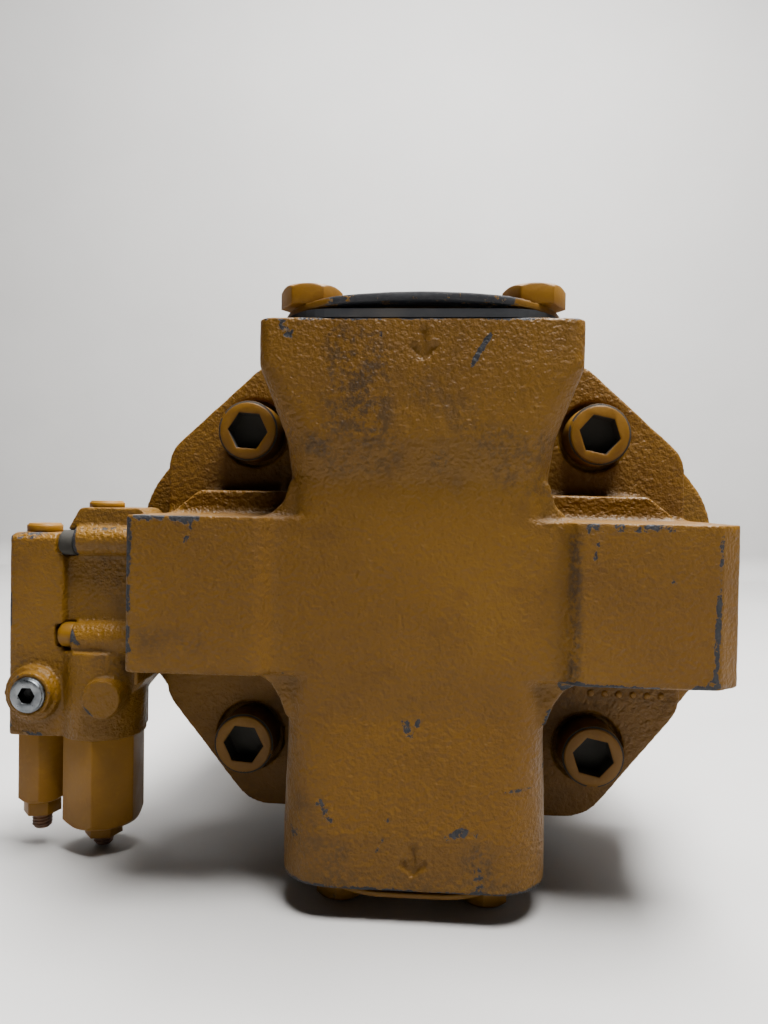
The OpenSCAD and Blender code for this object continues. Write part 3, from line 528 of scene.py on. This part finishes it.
# knocks on the port plate: from, to, depth range, radius, strength
PORT_MARKS = [
    ((23.1, 91.4), (17.3, 81.5), FACE, 1.6, 1.0), ((19.5, 75.8), (26, 74.8), FACE, 2.2, 0.62),
    ((26, 74.8), (41.8, 69.7), FACE, 3.2, 0.5), ((-46, 94.5), (-44.5, 92.5), FACE, 4.4, 0.85),
    ((7.3, 49.2), (7.3, 49.0), FACE, 2.4, 0.6), ((-12.5, 91.5), (-11, 90.5), FACE, 2.6, 0.7),
    ((-3.2, -40.2), (-1.2, -44.2), FACE, 3.0, 0.92), ((1.0, -41), (1.4, -39.6), FACE, 1.6, 0.9),
    ((-14, -77), (-9.5, -78.6), FACE, 2.6, 0.75), ((-9.5, -78.6), (-12, -83), FACE, 1.2, 0.85),
    ((11.5, -77.6), (17.8, -75.2), FACE, 2.8, 0.95), ((20.5, -76.6), (22, -76.2), FACE, 2.0, 0.6),
    ((-31.5, -68), (-28.5, -73.5), FACE, 3.2, 0.8), ((-41, -78.5), (-40.4, -80), FACE, 3.2, 0.8),
    ((30, -62), (40, -61), FACE, 1.1, 0.8), ((-0.5, -73), (-12, -72.2), FACE, 1.8, 0.55),
    ((-83, 29), (-76, 28), FACE, 3.2, 0.78), ((-77, 26), (-79.6, 20), FACE, 1.6, 0.82),
    ((-96, 29), (-88, 29), FACE, 3.0, 0.6), ((-99.4, 27), (-99.4, 10), ARM_END, 2.6, 0.8),
    ((-99.4, 4), (-99.4, -4), ARM_END, 2.2, 0.8), ((-99.4, -9), (-99.4, -17), ARM_END, 2.4, 0.8),
    ((-91, -12.5), (-77, -14.5), FACE, 3.2, 0.36), ((57, 27.5), (62, 26.5), FACE, 3.2, 0.85),
    ((60.5, 25), (58.8, 17.5), FACE, 1.4, 0.9), ((66, 28), (84, 27.5), FACE, 2.4, 0.8),
    ((75, 25), (82, 23.5), FACE, 1.6, 0.6), ((84, 11), (85.5, 10.6), FACE, 1.5, 0.9),
    ((100.0, 26), (99.4, 6), FACE, 1.6, 0.74), ((99.4, 6), (98.6, -22), FACE, 1.9, 0.95),
    ((93, -25), (98.5, -22.5), FACE, 3.4, 0.95), ((52, -24.8), (80, -25), FACE, 1.8, 0.6),
    ((50, -26), (55, -25), FACE, 3.2, 0.85), ((-50, -96), (46, -96), RIM, 2.2, 0.62),
    ((-26, -90), (-26.5, -96), FACE, 3.0, 0.5), ((22, -88), (23, -96), FACE, 3.4, 0.72),
    ((-52, 97), (52, 97), RIM, 1.6, 0.42), ((-45.5, -24), (-48, -30), FACE, 2.2, 0.5),
    ((45.5, -36), (45.8, -60), FLANK, 2.4, 0.5), ((-45.6, -70), (-45.6, -92), FLANK, 3.0, 0.5),
]

# stains on the port plate, given the same way; the line at X 53 along the right arm's inner step is painted
# shade
PORT_STAINS_AND_SHADE = [
    ((-27, 90), (-27, 62), FACE, 8, 0.75), ((-20, 88), (-18, 60), FACE, 10, 0.85),
    ((-14, 84), (-14, 60), FACE, 8, 0.7), ((-16, 58), (-8, 56), FACE, 6, 0.6),
    ((-36, 55), (-32, 54), FACE, 6, 0.75), ((-28, 49), (-10, 50), FACE, 8, 0.45),
    ((0, 74), (18, 62), FACE, 9, 0.35), ((24, 56), (44, 54), FACE, 9, 0.55),
    ((7, 50), (8, 49), FACE, 5, 0.6), ((-38, -72), (-30, -92), FACE, 9, 0.4),
    ((-26, -84), (-26, -95), FACE, 7, 0.6), ((22, -84), (24, -95), FACE, 8, 0.75),
    ((-30, -93), (34, -93), FACE, 5, 0.4), ((30, 46), (46, 40), FACE, 8, 0.5),
    ((53, 24), (53, -22), FACE, 3.2, 0.8), ((-92, -13), (-76, -14), FACE, 6, 0.35),
    ((58, -41), (100, -41), (-162, -156), 10, 0.3),
]

HOUSING_MARKS = [((-30, z), (30, z), (-30, 5), 8, strength) for z, strength in ((106, 0.6), (-106, 0.75))]
VALVE_MARKS = [
    ((-163, -4), (-163, -16), (-180, -170), 1.7, 0.95), ((-163, 19), (-150, 20), (-180, -160), 2.4, 0.7),
    ((-128.5, -47), (-126, -49.5), (-188, -182), 1.6, 0.95),
    ((-136.5, 22), (-136.5, 12), (-183, -168), 2.0, 0.9),
    ((-136.5, -18), (-133.5, -23), (-184, -176), 1.8, 0.85),
    ((-135, 23), (-108, 23), (-184, -170), 1.8, 0.62), ((-163, -57), (-150, -60), (-181, -170), 2.4, 0.6),
]
# painted shadow of the left arm on the right side of the valve's pressure column, given the same way
VALVE_ARM_SHADOW = [
    ((-124, 5), (-110, -8), (-184, -165), 12, 0.4), ((-122, -30), (-110, -34), (-184, -165), 7, 0.5),
]
# bores of the stroking and bias pistons: X, Z, radius, and the range in Y
CONTROL_BORES = [(-76, 0, 12.35, -196.5, -140), (76, 0, 13.35, -196.5, -140)]

# flow arrows: the middle of each in X and Z, half its length, and the reach of its head
ARROWS = ((1.2, 88.6), (0.6, -85.6))
ARROW_HALF, ARROW_HEAD = 4.6, 3.4
GROOVE_DEPTH = 1.0


def port_carve(co, no):
    """Generic flow arrows, both pointing down, cut into the rear face of the two flanges."""
    depth = np.zeros(len(co))
    front = no[:, 1] < -0.6
    p = co[:, [0, 2]] / MM
    for x0, z0 in ARROWS:
        tip = (x0, z0 - ARROW_HALF)
        away = np.full(len(co), 9.0)
        for end in ((x0, z0 + ARROW_HALF), (x0 - ARROW_HEAD, z0 - 1), (x0 + ARROW_HEAD, z0 - 1)):
            away = np.minimum(away, segment_distance(p, end, tip))
        depth = np.maximum(depth, np.where(front, 1 - ramp(away, 0.5, 1.5), 0) * GROOVE_DEPTH * MM)
    return depth


def make_castings():
    mat = paint("ochre_cast", dense=True, tone=0.90)
    coarser = 1.0
    casting("port_plate", 0.00074 * coarser, 22, "port_plate_skin", mat, marks=PORT_MARKS,
            stains_and_shade=PORT_STAINS_AND_SHADE, carve=port_carve, bores=CONTROL_BORES)
    casting("pump_housing", 0.0013 * coarser, 8, "pump_housing_skin", mat, erode=0.2, marks=HOUSING_MARKS)
    casting("valve_block", 0.00055 * coarser, 16, "valve_block_skin", mat, pits=0.05, erode=0.14,
            marks=VALVE_MARKS, stains_and_shade=VALVE_ARM_SHADOW)


# ---------------------------------------------------------------- screws and springs

# adjusting screws: radius, thread pitch, upper end, and the hex socket in the lower end
SCREW_R, SCREW_PITCH, SCREW_TOP = 4.0, 1.25, -77.1
SOCKET_R, SOCKET_DEPTH = 2.31, 3.0


def adjusting_screw(node, x, z0, mat):
    """Threaded screw with a hex socket in its lower end, as one skin."""
    minor = SCREW_R - 0.61 * SCREW_PITCH
    seg, length = 40, SCREW_TOP - z0
    rows = int(round(length / (SCREW_PITCH / 8)))
    verts, faces = [], []
    for i in range(rows + 1):
        z = z0 + length * i / rows
        # the thread runs out at both ends
        full = max(0.0, min(1.0, z - z0, (SCREW_TOP - z) / 0.8))
        for k in range(seg):
            a = 2 * math.pi * k / seg
            t = ((z - z0) / SCREW_PITCH - k / seg) % 1.0
            flank = 1 - abs(2 * t - 1)
            crest = min(1.0, max(0.0, (flank - 0.12) / 0.76))
            r = minor + (SCREW_R - 0.03 - minor) * crest * full - 0.35 * (1 - full)
            verts.append((x + r * math.cos(a), ADJUSTER_Y + r * math.sin(a), z))
    for i in range(rows):
        low, high = i * seg, (i + 1) * seg
        for k in range(seg):
            n = (k + 1) % seg
            faces.append((low + k, low + n, high + n, high + k))
    top = len(verts)
    verts.append((x, ADJUSTER_Y, SCREW_TOP))
    for k in range(seg):
        faces.append((rows * seg + k, rows * seg + (k + 1) % seg, top))
    base = len(verts)
    for z in (z0, z0 + SOCKET_DEPTH):
        for k in range(seg):
            a = 2 * math.pi * k / seg
            w = (a + math.pi / 6) % (math.pi / 3) - math.pi / 6
            r = SOCKET_R * math.cos(math.pi / 6) / math.cos(w)
            verts.append((x + r * math.cos(a), ADJUSTER_Y + r * math.sin(a), z))
    for k in range(seg):
        n = (k + 1) % seg
        faces.append((n, k, base + k, base + n))
        faces.append((base + n, base + k, base + seg + k, base + seg + n))
    floor = len(verts)
    verts.append((x, ADJUSTER_Y, z0 + SOCKET_DEPTH))
    for k in range(seg):
        faces.append((base + seg + (k + 1) % seg, base + seg + k, floor))
    ob = mesh_object(node + "_thread", [tuple(c * MM for c in v) for v in verts], faces)
    bm = bmesh.new()
    bm.from_mesh(ob.data)
    bmesh.ops.recalc_face_normals(bm, faces=bm.faces)
    bm.to_mesh(ob.data)
    bm.free()
    dress(ob, mat)
    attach(ob, node)
    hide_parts(node)


def helix(name, body, base, axis, r, wire, length, turns, mat):
    """Coil spring along Y or Z from its base, with a flat turn at each end."""
    total = turns + 2
    seg, ring = int(total) * 36, 12
    verts, faces = [], []
    for i in range(seg + 1):
        u = i / seg * total
        rise = wire + (length - 2 * wire) * min(max((u - 1) / turns, 0), 1)
        c, d = math.cos(2 * math.pi * u), math.sin(2 * math.pi * u)
        for k in range(ring):
            b = 2 * math.pi * k / ring
            rad = r + wire * math.cos(b)
            verts.append((rad * c, rad * d, rise + wire * math.sin(b)))
    for i in range(seg):
        for k in range(ring):
            n = (k + 1) % ring
            faces.append((i * ring + k, (i + 1) * ring + k, (i + 1) * ring + n, i * ring + n))
    faces.append(tuple(range(ring - 1, -1, -1)))
    faces.append(tuple(seg * ring + k for k in range(ring)))
    if axis == "Y":
        verts = [(p, q, -o) for p, o, q in verts]
    places = [tuple((base[j] + v[j]) * MM for j in range(3)) for v in verts]
    ob = mesh_object(name, places, faces)
    dress(ob, mat)
    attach(ob, body)
    return ob


# ---------------------------------------------------------------- machined parts

def rounded_copy(node, mat, width, wells=(), crisp=38):
    """A copy of a CAD part with its sharp edges rounded. wells: socket centres to darken inside as painted
    shade, and a screw head to darken as bare black metal, as (axis, centre, radius, depth range)."""
    src = NODES[node]
    ob = bpy.data.objects.new(node + "_rounded", src.data.copy())
    bpy.context.scene.collection.objects.link(ob)
    me = ob.data
    bm = bmesh.new()
    bm.from_mesh(me)
    bmesh.ops.remove_doubles(bm, verts=bm.verts, dist=2e-6)
    bmesh.ops.dissolve_limit(bm, angle_limit=math.radians(1.5), verts=bm.verts, edges=bm.edges)
    sharp = [e for e in bm.edges if len(e.link_faces) == 2 and e.calc_face_angle(0) > math.radians(32)]
    bmesh.ops.bevel(bm, geom=sharp, offset=width * MM, segments=2, profile=0.5, affect="EDGES",
                    clamp_overlap=True)
    bm.to_mesh(me)
    bm.free()
    if wells:
        values = np.zeros(len(me.polygons), np.float32)
        for i, f in enumerate(me.polygons):
            c = f.center
            for axis, centre, radius, (d0, d1) in wells:
                k = "xyz".index(axis)
                o = [j for j in range(3) if j != k]
                r = math.hypot(c[o[0]] / MM - centre[o[0]], c[o[1]] / MM - centre[o[1]])
                if r < radius and d0 < c[k] / MM < d1:
                    values[i] = 1
        me.attributes.new("inside", "FLOAT", "FACE").data.foreach_set("value", values)
    lo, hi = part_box(node)
    co, _ = arrays(me)
    set_co(me, np.clip(co, np.array(lo), np.array(hi)))
    me.polygons.foreach_set("use_smooth", [True] * len(me.polygons))
    me.set_sharp_from_angle(angle=math.radians(crisp))
    dress(ob, mat)
    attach(ob, "case")
    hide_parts(node)


# ---------------------------------------------------------------- everything else

def dress_cad():
    """Materials for every CAD node, and better pieces for those that show."""
    small = paint("ochre_parts", cast=0.12, chips=1.9, dirt_and_shade=0.8, tone=1.1)
    # a lit copy of the paint for the caps and plugs: tone 1.45 is painted light
    caps = paint("ochre_caps_lit_copy", cast=0.08, chips=1.2, dirt_and_shade=0.5, tone=1.45)
    plate = paint("ochre_plates", cast=0.15, chips=2.1, dirt_and_shade=1.1)
    worn_plate = paint("ochre_worn_plate", cast=0.15, chips=2.1, dirt_and_shade=1.1, worn=(0.036, -0.2065, 0.42))
    heads = paint("ochre_heads", cast=0.1, chips=3.0, dirt_and_shade=0.7, tone=1.35)
    ground = metal("ground_steel", (0.42, 0.42, 0.43), (0.56, 0.56, 0.57), 0.30, brush=(1, 14, 1))
    polished = metal("bearing_steel", (0.50, 0.50, 0.52), (0.66, 0.66, 0.68), 0.16, 0.12, (1, 10, 1))
    zinc = metal("zinc_plate", (0.10, 0.11, 0.12), (0.22, 0.23, 0.24), 0.42, 0.9)
    bronze = metal("bronze", (0.50, 0.33, 0.15), (0.62, 0.44, 0.22), 0.30, 0.25)
    black = rubber("black_rubber")
    rust = rusty("rusty_steel")
    by_slot = {"ochre_paint": small, "ground_steel": ground, "bearing_steel": polished, "zinc_plate": zinc,
               "bronze": bronze, "black_rubber": black, "rusty_steel": rust}
    slots = {s["node"]: s["material_slot"] for s in frame["record"]["subparts"]}
    for name, ob in NODES.items():
        dress(ob, by_slot[slots[name]])
    round_parts(small, caps, plate, worn_plate, heads, zinc)
    adjusting_screw("pressure_adjusting_screw", PRESSURE_X, -107.3, rust)
    adjusting_screw("flow_adjusting_screw", FLOW_X, -101.6, rust)
    wind_springs(ground)
    cast_pips(small)


def round_parts(small, caps, plate, worn_plate, heads, zinc):
    """Screws, bolts, covers, plugs and caps with soft edges. Hex sockets are darkened inside as painted
    shade, and the upper valve screw's head is dark as bare black metal.
    """
    screw_sockets = [("y", (x, 0, z), 8.0, (-171.9, -150)) for x in (-69.1, 69.1) for z in (-62.8, 62.8)]
    rounded_copy("port_plate_screws", small, 0.45, screw_sockets)
    for node in ("suction_cover_bolts", "pressure_cover_bolts"):
        rounded_copy(node, heads, 0.18, crisp=24)
    rounded_copy("suction_cover_plate", worn_plate, 0.3)
    rounded_copy("pressure_cover_plate", plate, 0.3)
    rounded_copy("blanking_plugs", caps, 0.35,
                 [("z", (PRESSURE_X, ADJUSTER_Y, 0), 2.9, (31.5, 33.4)),
                  ("z", (FLOW_X, ADJUSTER_Y, 0), 2.9, (21.5, 23.8))])
    rounded_copy("adjuster_caps", caps, 0.5)
    # the upper valve screw's head, dark as bare black metal
    rounded_copy("valve_screws", small, 0.35, [("x", (0, -175, 17), 5.4, (-143.3, -136.8))])
    rounded_copy("pilot_port_plug", zinc, 0.3,
                 [("y", (-151.4, 0, -42.4), 3.5, (-186.6, -180))])


def wind_springs(steel):
    """Real coils in place of the CAD's stacked rings. Both valve springs replace one node."""
    bias = helix("bias_spring_coil", "case", (76, -197.8, 0), "Y", 8.6, 1.6, 97.5, 12, steel)
    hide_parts("bias_spring")
    barrel = helix("barrel_spring_coil", "rotor", (0, -131.4, 0), "Y", 19.4, 1.7, 26.1, 3, steel)
    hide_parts("barrel_spring")
    pressure = helix("pressure_spring_coil", "case", (PRESSURE_X, ADJUSTER_Y, -72.9), "Z", 7.6, 1.5, 45.6, 7,
                     steel)
    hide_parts("adjuster_springs")
    helix("flow_spring_coil", "case", (FLOW_X, ADJUSTER_Y, -73.9), "Z", 4.4, 0.9, 46.6, 11, steel)


def cast_pips(mat):
    """Row of six plain foundry pips on the base flange under the right arm."""
    face_y, radius, height, rings, seg = -159.85, 1.5, 0.7, 6, 20
    verts, faces = [], []
    for i in range(6):
        cx, cz = 70 + i * 5.6, -40.5 - 0.12 * i
        base = len(verts)
        for j in range(rings):
            t = j / rings * math.pi / 2
            ring_r, ring_y = radius * math.cos(t), face_y - height * math.sin(t)
            for k in range(seg):
                a = 2 * math.pi * k / seg
                verts.append((cx + ring_r * math.cos(a), ring_y, cz + ring_r * math.sin(a)))
        verts.append((cx, face_y - height, cz))
        for j in range(rings - 1):
            low, high = base + j * seg, base + (j + 1) * seg
            for k in range(seg):
                n = (k + 1) % seg
                faces.append((low + k, high + k, high + n, low + n))
        last, crown = base + (rings - 1) * seg, base + rings * seg
        for k in range(seg):
            faces.append((last + k, crown, last + (k + 1) % seg))
        faces.append(tuple(base + k for k in range(seg)))
    ob = mesh_object("cast_pips", [tuple(c * MM for c in v) for v in verts], faces)
    dress(ob, mat)
    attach(ob, "case")


# ---------------------------------------------------------------- stage

def add_stage():
    """Floor that curves up into a wall, in metres."""
    floor_z = cad_box[0][2]
    near_y, wall_y, wall_height, half_width, curve = -1.4, 1.05, 2.2, 2.6, 0.05
    profile = [(near_y, floor_z)]
    for i in range(13):
        a = math.pi / 2 * i / 12
        profile.append((wall_y - curve + curve * math.sin(a), floor_z + curve - curve * math.cos(a)))
    profile.append((wall_y, floor_z + wall_height))
    verts, faces = [], []
    for y, z in profile:
        verts += [(-half_width, y, z), (half_width, y, z)]
    for i in range(len(profile) - 1):
        faces.append((2 * i, 2 * i + 1, 2 * i + 3, 2 * i + 2))
    ob = mesh_object("studio_floor", verts, faces)
    dress(ob, pale("pale_floor", (0.39, 0.385, 0.38), 6, 0.003, 0.6))


def area(name, place, target, width, height, power, color=(1, 1, 1)):
    """Rectangular lamp aimed at a target."""
    lamp = bpy.data.lights.new(name, "AREA")
    lamp.shape = "RECTANGLE"
    lamp.size, lamp.size_y = width, height
    lamp.energy = power
    lamp.color = color
    ob = bpy.data.objects.new(name, lamp)
    bpy.context.scene.collection.objects.link(ob)
    ob.location = place
    ob.rotation_euler = (Vector(target) - Vector(place)).to_track_quat("-Z", "Y").to_euler()


def add_lights():
    world = bpy.data.worlds.new("studio")
    bpy.context.scene.world = world
    world.use_nodes = True
    bg = world.node_tree.nodes["Background"]
    bg.inputs["Color"].default_value = (0.95, 0.97, 1.0, 1)
    bg.inputs["Strength"].default_value = 0.025
    area("top_light", (0.28, -0.27, 1.45), (0, -0.22, 0), 0.90, 0.60, 132, (1, 0.985, 0.96))
    area("back_light", (0.10, 0.35, 1.40), (0, -0.10, 0), 1.2, 0.6, 38, (1, 0.99, 0.97))
    area("side_light", (1.25, -0.55, 0.45), (0.05, -0.19, 0), 0.6, 0.8, 0.9, (1, 0.98, 0.95))
    area("wall_light", (0, 0.45, 1.5), (0, 1.05, 0.45), 2.4, 0.5, 19)


add_camera()
make_castings()
dress_cad()
add_stage()
add_lights()
